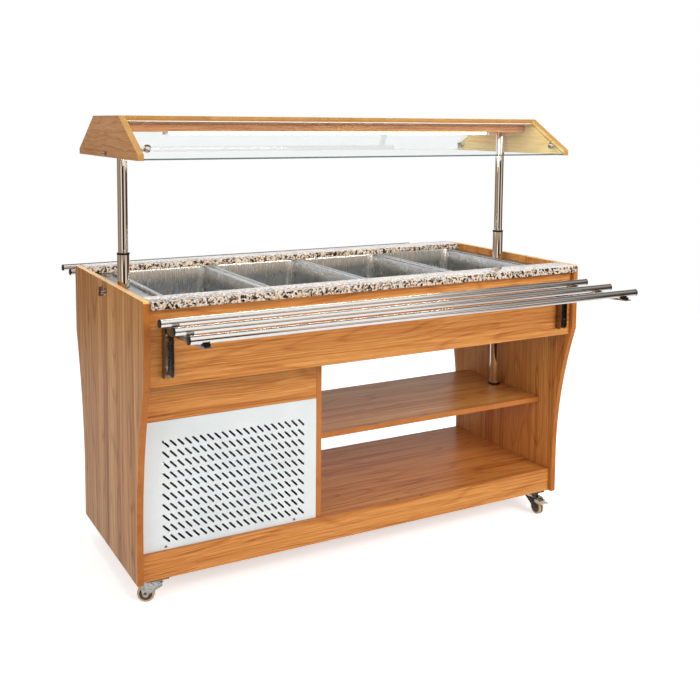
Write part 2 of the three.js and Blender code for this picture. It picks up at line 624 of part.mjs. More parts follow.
// control plate on the rear board: thermostat housing, rocker switch and appliance inlet on one plate
const plateY = BAY_FACE + GAP;
const boxFace = (x, z, halfX, halfZ, y0, y1) => block(
  CONTROL_X + x - halfX, CONTROL_X + x + halfX, y0, y1, CONTROL_Z + z - halfZ, CONTROL_Z + z + halfZ,
);
place('control_plate', joined(
  boxFace(0, 0, 95, 36, plateY, plateY + 2.5),
  boxFace(0, 0, CONTROL_CUTOUT.halfX - 1, CONTROL_CUTOUT.halfZ - 1, plateY - 60, plateY + 1),
  boxFace(34, 0, 39, 18, plateY + 1, plateY + 6),
  boxFace(-24, 0, 9, 13, plateY + 1, plateY + 7),
  boxFace(-64, 0, 15, 12, plateY + 1, plateY + 6),
), 'black');

export default object;
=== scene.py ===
import math

import bpy
from mathutils import Matrix, Vector


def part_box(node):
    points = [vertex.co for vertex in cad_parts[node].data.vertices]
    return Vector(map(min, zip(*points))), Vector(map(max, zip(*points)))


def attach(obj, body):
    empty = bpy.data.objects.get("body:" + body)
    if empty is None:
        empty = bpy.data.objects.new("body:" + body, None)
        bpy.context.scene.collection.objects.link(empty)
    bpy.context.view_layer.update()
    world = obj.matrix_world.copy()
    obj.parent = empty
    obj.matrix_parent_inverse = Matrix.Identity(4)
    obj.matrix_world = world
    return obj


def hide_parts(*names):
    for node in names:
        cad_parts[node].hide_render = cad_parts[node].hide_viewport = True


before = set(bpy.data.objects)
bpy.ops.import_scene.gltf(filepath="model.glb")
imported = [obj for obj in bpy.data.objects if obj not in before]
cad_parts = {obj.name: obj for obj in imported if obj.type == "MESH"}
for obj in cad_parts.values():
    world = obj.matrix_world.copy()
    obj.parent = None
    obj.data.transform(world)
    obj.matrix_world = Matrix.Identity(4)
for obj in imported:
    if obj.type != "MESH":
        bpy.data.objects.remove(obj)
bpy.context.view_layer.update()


# ------------------------ viewpoint
# The salad bar is seen from its front left corner at standing height, a little under the canopy's roof.
# The frame is shifted down, so that the upright boards and posts stay nearly upright in the picture.

EYE = (-1.49946, -2.73643, 1.35127)
heading, pitch, roll = (math.radians(angle) for angle in (28.61, -5.36, 0.41))
ahead = Vector((math.sin(heading) * math.cos(pitch), math.cos(heading) * math.cos(pitch), math.sin(pitch)))
sideways = ahead.cross(Vector((0, 0, 1))).normalized()
upward = sideways.cross(ahead)
across = math.cos(roll) * sideways + math.sin(roll) * upward
above = math.cos(roll) * upward - math.sin(roll) * sideways

bpy.ops.object.camera_add()
camera = bpy.context.object
camera.name = "viewpoint"
camera.data.lens = 49.02
camera.data.sensor_width = 36
camera.data.shift_x = 0.0305
camera.data.shift_y = -0.1972
camera.matrix_world = Matrix.Translation(EYE) @ Matrix((across, above, -ahead)).transposed().to_4x4()
bpy.context.scene.camera = camera


# ------------------------ cabinet boards
# The carcass is cut from 18 mm particle board faced with a wood-pattern laminate. Its long grain runs along
# the aprons, plinths and shelves and upright on the ends; the sawn edges are covered with plain banding.

def shade(red, green, blue):
    """a paint-card colour, 0 to 255, as the shader takes it"""
    card = [part / 255 for part in (red, green, blue)]
    return tuple(c / 12.92 if c <= 0.04045 else ((c + 0.055) / 1.055) ** 2.4 for c in card)


def new_finish(name):
    """a new material, its tree, its shader and each point's place on the object"""
    material = bpy.data.materials.new(name)
    material.use_nodes = True
    tree = material.node_tree
    place = tree.nodes.new("ShaderNodeTexCoord").outputs["Object"]
    return material, tree, tree.nodes["Principled BSDF"], place


def feed(tree, node, feeds):
    """each socket takes a plain value or another node's output"""
    for socket, value in feeds.items():
        if isinstance(value, bpy.types.NodeSocket):
            tree.links.new(value, node.inputs[socket])
        else:
            node.inputs[socket].default_value = value


def lay(tree, kind, feeds, out=0, **settings):
    """adds a node, sets and feeds it, and returns one of its outputs"""
    made = tree.nodes.new("ShaderNode" + kind)
    for setting, value in settings.items():
        setattr(made, setting, value)
    feed(tree, made, feeds)
    return made.outputs[out]


def reckon(tree, operation, *values):
    """arithmetic on one or two values"""
    return lay(tree, "Math", dict(enumerate(values)), operation=operation)


def spread(tree, value, low, high, start=0.0, end=1.0):
    """a value from start to end is spread from low to high"""
    ends = {"From Min": start, "From Max": end, "To Min": low, "To Max": high}
    return lay(tree, "MapRange", {"Value": value, **ends})


def noise(tree, position, scale=1.0, detail=2.0, roughness=0.5, stretch=None, out=0):
    """noise over a position, which three factors may stretch first"""
    if stretch:
        position = lay(tree, "VectorMath", {0: position, 1: stretch}, operation="MULTIPLY")
    looks = {"Scale": scale, "Detail": detail, "Roughness": roughness}
    return lay(tree, "TexNoise", {"Vector": position, **looks}, out)


def mingle(tree, share, first, second, way="MIX"):
    """the second colour goes into the first by its share"""
    return lay(tree, "Mix", {0: share, 6: first, 7: second}, 2, data_type="RGBA", blend_type=way)


def dents(tree, height, strength, distance):
    """normals that follow a height"""
    return lay(tree, "Bump", {"Height": height, "Strength": strength, "Distance": distance})


def tint(tree, value, stops):
    """colours along a value, as (position, colour) pairs"""
    ramp = tree.nodes.new("ShaderNodeValToRGB")
    tree.links.new(value, ramp.inputs[0])
    marks = ramp.color_ramp.elements
    for mark, (position, colour) in zip(marks, (stops[0], stops[-1])):
        mark.position, mark.color = position, (*colour, 1)
    for position, colour in stops[1:-1]:
        marks.new(position).color = (*colour, 1)
    return ramp.outputs[0]


def new_pattern(name, inputs, outputs):
    """a shader group that gives masks, with its own named sockets"""
    group = bpy.data.node_groups.new(name, "ShaderNodeTree")
    for label, kind in inputs.items():
        group.interface.new_socket(label, in_out="INPUT", socket_type="NodeSocket" + kind)
    for label in outputs:
        group.interface.new_socket(label, in_out="OUTPUT", socket_type="NodeSocketFloat")
    return group, group.nodes.new("NodeGroupInput").outputs, group.nodes.new("NodeGroupOutput")


def use_pattern(tree, group, feeds):
    """places a shader group and returns its outputs"""
    made = tree.nodes.new("ShaderNodeGroup")
    made.node_tree = group
    feed(tree, made, feeds)
    return made.outputs


# printed wood figure with its grain along X: drifting bands, contour lines round slow swells, short fibres
wood, given, gives = new_pattern(
    "wood figure", {"Grain Position": "Vector", "Waviness": "Float"}, ["Tone", "Fibre"]
)
drift = noise(wood, given["Grain Position"], detail=3.0, stretch=(3.2, 5.0, 5.0))
drift = reckon(wood, "MULTIPLY", reckon(wood, "SUBTRACT", drift, 0.5), given["Waviness"])
sway = lay(wood, "CombineXYZ", {"X": 0.0, "Y": drift, "Z": drift})
swayed = lay(wood, "VectorMath", {0: given["Grain Position"], 1: sway}, operation="ADD")
bands = noise(wood, swayed, detail=4.0, roughness=0.7, stretch=(1.1, 210.0, 210.0))
broad = noise(wood, swayed, stretch=(0.5, 22.0, 22.0))
swell = noise(wood, swayed, detail=1.0, roughness=0.4, stretch=(0.9, 7.0, 7.0))
contour = reckon(wood, "PINGPONG", reckon(wood, "MULTIPLY", swell, 17.0), 0.5)
contour = spread(wood, contour, -0.07, 0.01, end=0.16)
tone = reckon(wood, "ADD", spread(wood, bands, 0.13, 0.87), contour)
tone = reckon(wood, "ADD", tone, spread(wood, broad, -0.2, 0.2))
fibre = noise(wood, swayed, roughness=0.6, stretch=(12.0, 460.0, 460.0))
feed(wood, gives, {"Tone": tone, "Fibre": fibre})

ALONG_X = (0, 0, 0)
ALONG_Y = (0, 0, -math.pi / 2)
UPRIGHT = (0, math.pi / 2, 0)


def laminate(name, grain, tones, waviness=0.016, shine=0.4):
    """printed laminate in four tones, from dark streaks to pale ones"""
    material, tree, shader, place = new_finish(name)
    along = lay(tree, "Mapping", {"Vector": place, "Rotation": grain, "Location": (0.37, 0.21, 0.13)})
    figure = use_pattern(tree, wood, {"Grain Position": along, "Waviness": waviness})
    colour = tint(tree, figure["Tone"], list(zip((0.29, 0.42, 0.53, 0.7), tones)))
    fine = tint(tree, figure["Fibre"], [(0.35, (0.78, 0.72, 0.66)), (0.6, (1.0, 1.0, 1.0))])
    feed(tree, shader, {
        "Base Color": mingle(tree, 0.6, colour, fine, "MULTIPLY"),
        "Roughness": spread(tree, figure["Tone"], 0.4, 0.3, 0.35, 0.65),
        "Normal": dents(tree, figure["Fibre"], 0.12, 0.0003),
        "Specular IOR Level": shine,
    })
    return material


warm_tones = [shade(140, 74, 28), shade(187, 114, 49), shade(208, 139, 68), shade(228, 166, 96)]
# the end boards' outer faces take a darker, greyer copy of the same laminate: painted shade
shaded_outer_tones = [shade(115, 65, 25), shade(155, 101, 47), shade(182, 126, 67), shade(208, 156, 98)]
long_laminate = laminate("long laminate", ALONG_X, warm_tones)
upright_laminate = laminate("upright laminate", UPRIGHT, warm_tones, waviness=0.02)
shaded_outer_laminate = laminate("outer end laminate", UPRIGHT, shaded_outer_tones, waviness=0.015, shine=0.1)

# one soft cloud over a plain surface, from slow stains to fine grit
clouding, given, gives = new_pattern(
    "clouding", {"Position": "Vector", "Scale": "Float", "Detail": "Float", "Coarseness": "Float"}, ["Cloud"]
)
feed(clouding, gives, {"Cloud": noise(clouding, *given[:4])})


def clouded(tree, place, scale, detail=2.0, coarseness=0.5):
    """the cloud over a surface, at its own scale"""
    settings = {"Scale": scale, "Detail": detail, "Coarseness": coarseness}
    return use_pattern(tree, clouding, {"Position": place, **settings})["Cloud"]


def plain_finish(name, dark, light, gloss, scale, detail=2.0, coarseness=0.5, shine=0.5, grit=None):
    """a plain surface clouded between two close colours"""
    material, tree, shader, place = new_finish(name)
    cloud = clouded(tree, place, scale, detail, coarseness)
    feed(tree, shader, {
        "Base Color": tint(tree, cloud, [(0.3, dark), (0.7, light)]),
        "Roughness": spread(tree, cloud, *gloss),
        "Specular IOR Level": shine,
    })
    if grit:
        feed(tree, shader, {"Normal": dents(tree, cloud, *grit)})
    return material


def edge_banding(name, dark, light):
    """plain plastic banding with faint stains, glued over sawn edges"""
    return plain_finish(name, dark, light, (0.22, 0.36), 9.0, 5.0, 0.7, shine=0.3)


banding = edge_banding("edge banding", shade(174, 103, 45), shade(189, 120, 60))
# the end boards' edges take a darker copy of the banding: painted shade
shaded_end_banding = edge_banding("end panel banding", shade(160, 89, 30), shade(182, 110, 46))
# the end boards' upward edges take a paler copy of the banding: a painted highlight
lit_top_banding = edge_banding("top edge banding", shade(204, 152, 84), shade(228, 184, 116))


def take(piece):
    """only this piece is selected and active"""
    bpy.ops.object.select_all(action="DESELECT")
    piece.select_set(True)
    bpy.context.view_layer.objects.active = piece


def carry_out(piece, kind, **settings):
    """adds a modifier, sets it and applies it"""
    take(piece)
    modifier = piece.modifiers.new(kind.lower(), kind)
    for setting, value in settings.items():
        setattr(modifier, setting, value)
    bpy.ops.object.modifier_apply(modifier=modifier.name)


def fit(piece, body, slot, *stands_for, finish=None, smooth=20):
    """the piece takes its finish, its place goes into its mesh, and it moves with its body"""
    if finish:
        piece.data.materials.append(finish)
    take(piece)
    bpy.ops.object.transform_apply()
    bpy.ops.object.shade_smooth_by_angle(angle=math.radians(smooth))
    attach(piece, body)
    if stands_for:
        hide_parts(*stands_for)


def begin(add, name, **settings):
    """begins a piece from a primitive, its place put into its mesh"""
    bpy.ops.object.select_all(action="DESELECT")
    add(**settings)
    piece = bpy.context.object
    piece.name = name
    bpy.ops.object.transform_apply()
    return piece


def edit(choice="SELECT"):
    """edit mode, with everything or nothing selected"""
    bpy.ops.object.mode_set(mode="EDIT")
    bpy.ops.mesh.select_all(action=choice)


def leave():
    """back to object mode"""
    bpy.ops.object.mode_set(mode="OBJECT")


def block(name, low, high, arris=0.0008, steps=2):
    """a block between two corners with its edges eased"""
    middle = [(a + b) / 2 for a, b in zip(low, high)]
    size = [b - a for a, b in zip(low, high)]
    piece = begin(bpy.ops.mesh.primitive_cube_add, name, size=1, location=middle, scale=size)
    edit()
    bpy.ops.mesh.bevel(offset=arris, segments=steps, affect="EDGES")
    leave()
    return piece


def sort_faces(piece, finishes, pick):
    """each face of a piece picks one of its finishes by number"""
    for finish in finishes:
        piece.data.materials.append(finish)
    for facet in piece.data.polygons:
        facet.material_index = pick(facet)


def dress(piece, thickness_axis, faces, edges, far_faces=None, top=None):
    """laminate on the broad faces and banding on the rest; a paler banding, when given, goes on upward edges as
    a painted highlight
    """
    def pick(facet):
        # upward edges take the paler banding, a painted highlight
        if top and facet.normal.z > 0.6:
            return 3
        broad = facet.normal[thickness_axis]
        return 0 if broad < -0.95 else 2 if broad > 0.95 else 1

    sort_faces(piece, (faces, edges, far_faces or faces, *([top] if top else [])), pick)


def cut_board(
    name, low, high, node, thickness_axis, faces=long_laminate, edges=banding, part=("cabinet", "wood"),
):
    """a board cut to size, dressed and put in for its node"""
    piece = block(name, low, high)
    dress(piece, thickness_axis, faces, edges)
    fit(piece, *part, node)


for node, axis in (
    ("apron_front", 1), ("apron_rear", 1), ("compartment_board_front", 1),
    ("upper_shelf", 2), ("base_shelf", 2),
):
    cut_board(node + "_board", *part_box(node), node, axis)
cut_board("divider_board", *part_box("divider_panel"), "divider_panel", 0, upright_laminate)

# the plinths are glued to the bottom board's edges
BOARD = 0.018
low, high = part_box("plinth_base")
inner_front, inner_rear = low.y + BOARD, high.y - BOARD
cut_board("plinth_front", low, (high.x, inner_front, high.z), "plinth_base", 1)
cut_board("plinth_rear", (low.x, inner_rear, low.z), high, "plinth_base", 1)
cut_board("bottom_board", (low.x, inner_front, low.z), (high.x, inner_rear, low.z + BOARD), "plinth_base", 2)


def bench_copy(node, name):
    """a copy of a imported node, its loose triangles merged into whole faces"""
    piece = bpy.data.objects.new(name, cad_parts[node].data.copy())
    bpy.context.collection.objects.link(piece)
    piece.data.materials.clear()
    take(piece)
    bpy.ops.mesh.customdata_custom_splitnormals_clear()
    edit()
    bpy.ops.mesh.remove_doubles(threshold=0.00001)
    bpy.ops.mesh.dissolve_limited(angle_limit=math.radians(0.5))
    leave()
    return piece


def ease(piece, width, steps=2, angle=30):
    """sharp edges are eased by this width"""
    carry_out(
        piece, "BEVEL", width=width, segments=steps, limit_method="ANGLE", angle_limit=math.radians(angle),
        use_clamp_overlap=True,
    )


def shaped_board(name, node, thickness_axis, *finishes, part=("cabinet", "wood")):
    """a board sawn to its node's outline, eased and dressed"""
    piece = bench_copy(node, name)
    ease(piece, 0.0008)
    dress(piece, thickness_axis, *finishes)
    fit(piece, *part, node)


# each end board: painted shade in its darker outer laminate and edge banding, a painted highlight in its paler
# top banding
for side, faces, far_faces in (
    ("left", shaded_outer_laminate, upright_laminate), ("right", upright_laminate, shaded_outer_laminate),
):
    shaped_board("end_board_" + side, "end_panel_" + side, 0, faces, shaded_end_banding, far_faces, lit_top_banding)
shaped_board("compartment_board_rear_board", "compartment_board_rear", 1, long_laminate, banding)


# ------------------------ ventilation grilles
# Each grille is 1.5 mm sheet steel, punched with slanting round-ended slots and powder coated white.
# The front one is held by two small screws in its lower edge.

paint_skin, given, gives = new_pattern("paint skin", {"Position": "Vector"}, ["Ripple", "Soil"])
feed(paint_skin, gives, {
    "Ripple": noise(paint_skin, given["Position"], 900.0),
    "Soil": noise(paint_skin, given["Position"], 7.0, 5.0, 0.6),
})


def powder_coat(name, low, high, gloss=(0.38, 0.5)):
    """baked powder coat with a fine ripple"""
    material, tree, shader, place = new_finish(name)
    skin = use_pattern(tree, paint_skin, {"Position": place})
    feed(tree, shader, {
        "Base Color": tint(tree, skin["Soil"], [(0.3, low), (0.7, high)]),
        "Roughness": spread(tree, skin["Soil"], *gloss),
        "Normal": dents(tree, skin["Ripple"], 0.08, 0.0002),
    })
    return material


white_coat = powder_coat("white powder coat", shade(207, 213, 213), shade(219, 224, 224))
SLOT_RADIUS = 0.003
SLOT_STRAIGHT = 0.023
SLOT_PITCH = (0.02226, 0.0304)
SLOT_FIRST = (-0.658, 0.457)
SLOT_ROWS = 10


def cut_out(piece, tool):
    """a tool's shape is cut out of a piece, and the tool is put away"""
    carry_out(piece, "BOOLEAN", object=tool, operation="DIFFERENCE", solver="EXACT")
    bpy.data.objects.remove(tool)


def choose(piece, kind, wanted):
    """edit mode, with only the wanted corners or faces selected"""
    edit("DESELECT")
    leave()
    for part in getattr(piece.data, kind):
        part.select = wanted(part)
    bpy.ops.object.mode_set(mode="EDIT")


def punched_sheet(node, first_column, columns):
    """a sheet with one slot punched all along its columns and rows"""
    low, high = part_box(node)
    sheet = block(node + "_sheet", low, high, arris=0.0003, steps=1)
    punch = begin(bpy.ops.mesh.primitive_cylinder_add, "punch", vertices=16, radius=SLOT_RADIUS, depth=0.012)
    edit()
    bpy.ops.transform.rotate(value=math.pi / 16, orient_axis="Z", center_override=(0, 0, 0))
    leave()
    for side in (-1, 1):
        choose(punch, "vertices", lambda corner: corner.co.x * side > 0)
        bpy.ops.transform.translate(value=(side * SLOT_STRAIGHT / 2, 0, 0))
        leave()
    punch.rotation_euler = (math.pi / 2, 0, 0)
    bpy.ops.object.transform_apply()
    punch.rotation_euler = (0, math.pi / 4, 0)
    punch.location = (SLOT_FIRST[0] + first_column * SLOT_PITCH[0], (low.y + high.y) / 2, SLOT_FIRST[1])
    bpy.ops.object.transform_apply()
    for count, shift in ((columns, (SLOT_PITCH[0], 0, 0)), (SLOT_ROWS, (0, 0, -SLOT_PITCH[1]))):
        carry_out(
            punch, "ARRAY", count=count, use_relative_offset=False, use_constant_offset=True,
            constant_offset_displace=shift,
        )
    cut_out(sheet, punch)
    fit(sheet, "cabinet", "white_paint", node, finish=white_coat)


punched_sheet("grille_front", 0, 20)
punched_sheet("grille_rear", 5, 10)


def turned(name, profile, sides=40):
    """a solid turned on a lathe about Z; its profile lists (radius, height) from foot to head"""
    radius, height = profile[0]
    piece = begin(
        bpy.ops.mesh.primitive_circle_add, name, vertices=sides, radius=radius, fill_type="NGON",
        location=(0, 0, height),
    )
    edit()
    for (radius, height), (next_radius, next_height) in zip(profile, profile[1:]):
        bpy.ops.mesh.extrude_region_move(TRANSFORM_OT_translate={"value": (0, 0, next_height - height)})
        widen = next_radius / radius
        bpy.ops.transform.resize(value=(widen, widen, 1), center_override=(0, 0, next_height))
    bpy.ops.mesh.select_all(action="SELECT")
    bpy.ops.mesh.normals_make_consistent(inside=False)
    leave()
    return piece


def another(piece, name, placing):
    """a copy with its own mesh, put in its place"""
    made = piece.copy()
    made.data = piece.data.copy()
    made.name = name
    bpy.context.collection.objects.link(made)
    made.data.transform(placing)
    return made


def fit_copy(piece, name, placing, body, slot, *stands_for, finish=None, smooth=30):
    """a copy, put in its place and fitted"""
    fit(another(piece, name, placing), body, slot, *stands_for, finish=finish, smooth=smooth)


def pointing(direction):
    """turns a piece made along +Z so that it points that way"""
    return Vector((0, 0, 1)).rotation_difference(Vector(direction)).to_matrix().to_4x4()


def at(x, y, z):
    """moves a piece there"""
    return Matrix.Translation((x, y, z))


# drawn or polished metal: fine lines along one way and slow smudges
drawn_metal, given, gives = new_pattern(
    "drawn metal", {"Position": "Vector", "Stretch": "Vector"}, ["Lines", "Smudge"]
)
feed(drawn_metal, gives, {
    "Lines": noise(drawn_metal, given["Position"], 1.0, 4.0, 0.7, stretch=given["Stretch"]),
    "Smudge": noise(drawn_metal, given["Position"], 9.0, 4.0, 0.55),
})


def metal(name, low, high, stretch, gloss, depth=0.03, bareness=1.0):
    """bare metal between two tones, with drawn or brushed lines"""
    material, tree, shader, place = new_finish(name)
    marks = use_pattern(tree, drawn_metal, {"Position": place, "Stretch": stretch})
    mixed = reckon(tree, "ADD", marks["Lines"], marks["Smudge"])
    feed(tree, shader, {
        "Base Color": tint(tree, marks["Lines"], [(0.3, low), (0.7, high)]),
        "Roughness": spread(tree, mixed, *gloss, 0.7, 1.3),
        "Normal": dents(tree, marks["Lines"], depth, 0.0002),
        "Metallic": bareness,
    })
    return material


rose_brass = metal("plated screw", shade(168, 132, 112), shade(214, 184, 164), (300, 300, 300), (0.2, 0.34))
screw = turned("screw", [
    (0.0038, 0), (0.0038, 0.0007), (0.0034, 0.0015), (0.0024, 0.0021), (0.0008, 0.0023),
], 24)
slot_bar = block("slot_bar", (-0.0022, -0.0004, 0.0012), (0.0022, 0.0004, 0.004), arris=0.0001, steps=1)
cross_bar = another(slot_bar, "cross_bar", Matrix.Rotation(math.pi / 2, 4, "Z"))
for bar in (slot_bar, cross_bar):
    cut_out(screw, bar)
GRILLE_FACE, SCREW_HEIGHT = -0.256, 0.1612
for number, x in enumerate((-0.660, -0.258), 1):
    placing = at(x, GRILLE_FACE, SCREW_HEIGHT) @ pointing((0, -1, 0))
    fit_copy(screw, f"grille_screw_{number}", placing, "cabinet", "zinc", finish=rose_brass)


# ------------------------ granite strips
# Two granite strips lie along the worktop, sawn 21 mm thick, polished on top and honed on their edges.
# Their grains are 3 to 12 mm: grey and cream feldspar, tan quartz and black mica.

# crystals with ragged outlines in two sizes, each with a value of its own
stone_grains, given, gives = new_pattern("stone grains", {"Position": "Vector"}, ["Coarse", "Fine"])
ragged = noise(stone_grains, given["Position"], 110.0, out=1)
ragged = lay(stone_grains, "VectorMath", {0: ragged, 1: (0.5, 0.5, 0.5)}, operation="SUBTRACT")
ragged = lay(stone_grains, "VectorMath", {0: ragged, 1: (0.009, 0.009, 0.009)}, operation="MULTIPLY")
ragged = lay(stone_grains, "VectorMath", {0: given["Position"], 1: ragged}, operation="ADD")
for label, scale in (("Coarse", 190.0), ("Fine", 460.0)):
    crystals = lay(stone_grains, "TexVoronoi", {"Vector": ragged, "Scale": scale}, out=1)
    feed(stone_grains, gives, {label: lay(stone_grains, "SeparateColor", {"Color": crystals})})


def granite(name, gloss, veil, density):
    """speckled stone: its roughness, its painted sheen of pale blue-grey reflection and how strongly it mirrors
    """
    material, tree, shader, place = new_finish(name)
    grains = use_pattern(tree, stone_grains, {"Position": place})
    coarse = tint(tree, grains["Coarse"], [
        (0.0, shade(14, 12, 11)), (0.25, shade(32, 25, 21)), (0.28, shade(88, 60, 42)),
        (0.36, shade(152, 112, 78)), (0.44, shade(222, 192, 156)), (0.62, shade(236, 218, 194)),
        (0.8, shade(224, 216, 206)), (1.0, shade(160, 152, 146)),
    ])
    fine = tint(tree, grains["Fine"], [
        (0.0, (0.06, 0.05, 0.05)), (0.14, (0.4, 0.35, 0.3)), (0.22, (1, 1, 1)), (1.0, (0.86, 0.86, 0.88)),
    ])
    mottle = mingle(tree, 0.75, coarse, fine, "MULTIPLY")
    feed(tree, shader, {
        # the painted sheen mixes in pale blue-grey, a painted reflection of the bright surroundings
        "Base Color": mingle(tree, veil, mottle, (*shade(196, 208, 218), 1)),
        "Roughness": spread(tree, grains["Fine"], *gloss),
        "IOR": density,
    })
    return material


# the polished tops carry the painted reflection, the honed edges none
polished_granite = granite("polished granite", (0.05, 0.12), 0.18, 1.65)
honed_granite = granite("honed granite", (0.34, 0.5), 0.0, 1.5)
JOINT = 0.0015

for side in ("front", "rear"):
    low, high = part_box("granite_" + side)
    strip = block(
        "granite_strip_" + side, (low.x + JOINT, low.y, low.z), (high.x - JOINT, high.y, high.z),
        arris=0.0015, steps=3,
    )
    sort_faces(strip, (polished_granite, honed_granite), lambda facet: 0 if facet.normal.z > 0.9 else 1)
    fit(strip, "cabinet", "granite", "granite_" + side)


# ------------------------ well, jacket and pans
# The well is stainless sheet, folded and welded, with a flat deck round it and three bars across it.
# The gastronorm pans are pressed from one sheet each; their rims hang on the deck and the bars.

deck_steel = metal("deck steel", shade(176, 182, 186), shade(206, 211, 214), (14, 420, 420), (0.26, 0.4), 0.05)
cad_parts["well"].material_slots[0].material = deck_steel

jacket_foil = metal("jacket foil", shade(170, 172, 172), shade(200, 202, 202), (40, 40, 40), (0.35, 0.55))
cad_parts["insulation"].material_slots[0].material = jacket_foil

pan_steel = metal(
    "pressed pan steel", shade(190, 194, 196), shade(216, 219, 220), (300, 24, 24), (0.2, 0.32), 0.02
)


def put_away(*patterns):
    """the pieces that were only copied from are removed"""
    for piece in patterns:
        bpy.data.objects.remove(piece)


# the mouth's outline, then its walls drawn down to the floor with a rounded foot
RIM = 0.0125
PAN_CORNER = 0.025
low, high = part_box("pan_1")
rim_half = ((high.x - low.x) / 2, (high.y - low.y) / 2)
press = begin(bpy.ops.mesh.primitive_plane_add, "pan_press", size=2)
press.scale = (rim_half[0] - RIM, rim_half[1] - RIM, 1)
bpy.ops.object.transform_apply()
edit()
bpy.ops.mesh.bevel(offset=PAN_CORNER, offset_type="OFFSET", segments=8, affect="VERTICES")
bpy.ops.mesh.select_all(action="SELECT")
for sink, narrow in (
    (0.0008, 0.0003), (0.0012, 0.0010), (0.0022, 0.0010), (0.040, 0.0026), (0.040, 0.0026), (0.045, 0.0028),
    (0.009, 0.0020), (0.006, 0.0034), (0.003, 0.0056),
):
    bpy.ops.mesh.extrude_region_move(TRANSFORM_OT_translate={"value": (0, 0, -sink)})
    leave()
    chosen = [corner.co for corner in press.data.vertices if corner.select]
    half_x, half_y = max(c.x for c in chosen), max(c.y for c in chosen)
    bpy.ops.object.mode_set(mode="EDIT")
    bpy.ops.transform.resize(
        value=((half_x - narrow) / half_x, (half_y - narrow) / half_y, 1), center_override=(0, 0, chosen[0].z)
    )
leave()
# the mouth is opened, and the rim is drawn outwards from it and turned down
choose(press, "vertices", lambda corner: corner.co.z > -1e-6)
bpy.ops.mesh.delete(type="ONLY_FACE")
leave()
choose(press, "vertices", lambda corner: corner.co.z > -1e-6)
reached = -RIM
for sink, reach in ((0.0, -0.0015), (0.0004, -0.0006), (0.0011, 0.0), (0.0055, 0.0)):
    bpy.ops.mesh.extrude_edges_move(TRANSFORM_OT_translate={"value": (0, 0, -sink)})
    widen = [(half + reach) / (half + reached) for half in rim_half]
    bpy.ops.transform.resize(value=(*widen, 1), center_override=(0, 0, 0))
    reached = reach
bpy.ops.mesh.select_all(action="SELECT")
bpy.ops.mesh.normals_make_consistent(inside=True)
leave()
# the sheet's thickness goes outwards
carry_out(press, "SOLIDIFY", thickness=0.0010, offset=-1.0)
press.data.materials.append(pan_steel)
for number in (1, 2, 3, 4):
    low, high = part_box(f"pan_{number}")
    placing = at((low.x + high.x) / 2, 0, high.z)
    fit_copy(press, f"pressed_pan_{number}", placing, f"pan_{number}", "steel", f"pan_{number}", smooth=35)
put_away(press)


# ------------------------ posts and clamp screws
# Two telescopic posts of polished stainless tube carry the canopy: a fixed 36 mm outer tube on a black foot
# ring, a black collar on its mouth, and a 30 mm inner tube. A wing screw through the end board holds each.

bright_tube = metal("polished tube", shade(228, 221, 213), shade(238, 231, 224), (60, 60, 2), (0.02, 0.04), 0.0)
# chrome darkened and warmed towards brown: a painted dark reflection
chrome = metal("dark nickel", shade(136, 122, 112), shade(178, 166, 156), (240, 240, 240), (0.07, 0.16), 0.01)
black_plastic = plain_finish(
    "black plastic", shade(12, 12, 13), shade(24, 23, 23), (0.3, 0.5), 700.0, 3.0,
    shine=0.25, grit=(0.1, 0.0002),
)


def pipe(name, radius, wall, start, end, placing, sides=56, arris=0.0004):
    """an open tube from start to end, its rims eased, put in its place"""
    piece = begin(
        bpy.ops.mesh.primitive_cylinder_add, name, vertices=sides, radius=radius, depth=end - start,
        end_fill_type="NOTHING", location=(0, 0, (start + end) / 2),
    )
    carry_out(piece, "SOLIDIFY", thickness=wall, offset=-1.0)
    ease(piece, arris, steps=3, angle=40)
    piece.data.transform(placing)
    return piece


# the wing screw, modelled pointing along +X with the board's face at zero
WING_MIDDLE = (0.0150, 0.004)
WING_REACH = 0.0155
wing = block("wing_blank", (0.0085, -0.0030, -0.0115), (0.0215, 0.0030, 0.0195), arris=0.0022, steps=4)
edit()
bpy.ops.mesh.bisect(plane_co=(0, 0, WING_MIDDLE[1]), plane_no=(0, 0, 1))
leave()
for corner in wing.data.vertices:
    narrowing = 0.86 + 0.14 * abs(corner.co.z - WING_MIDDLE[1]) / WING_REACH
    corner.co.x = WING_MIDDLE[0] + (corner.co.x - WING_MIDDLE[0]) * narrowing + 0.0002
boss = turned("boss", [
    (0.0108, 0.0004), (0.0112, 0.0012), (0.0108, 0.0024), (0.0078, 0.0032), (0.0070, 0.0040), (0.0064, 0.0120),
    (0.0056, 0.0148), (0.0030, 0.0162), (0.0006, 0.0166),
], 32)
boss.data.transform(pointing((1, 0, 0)))
shank = pipe("shank", 0.0040, 0.0030, -0.0378, 0.0006, pointing((1, 0, 0)), sides=24)

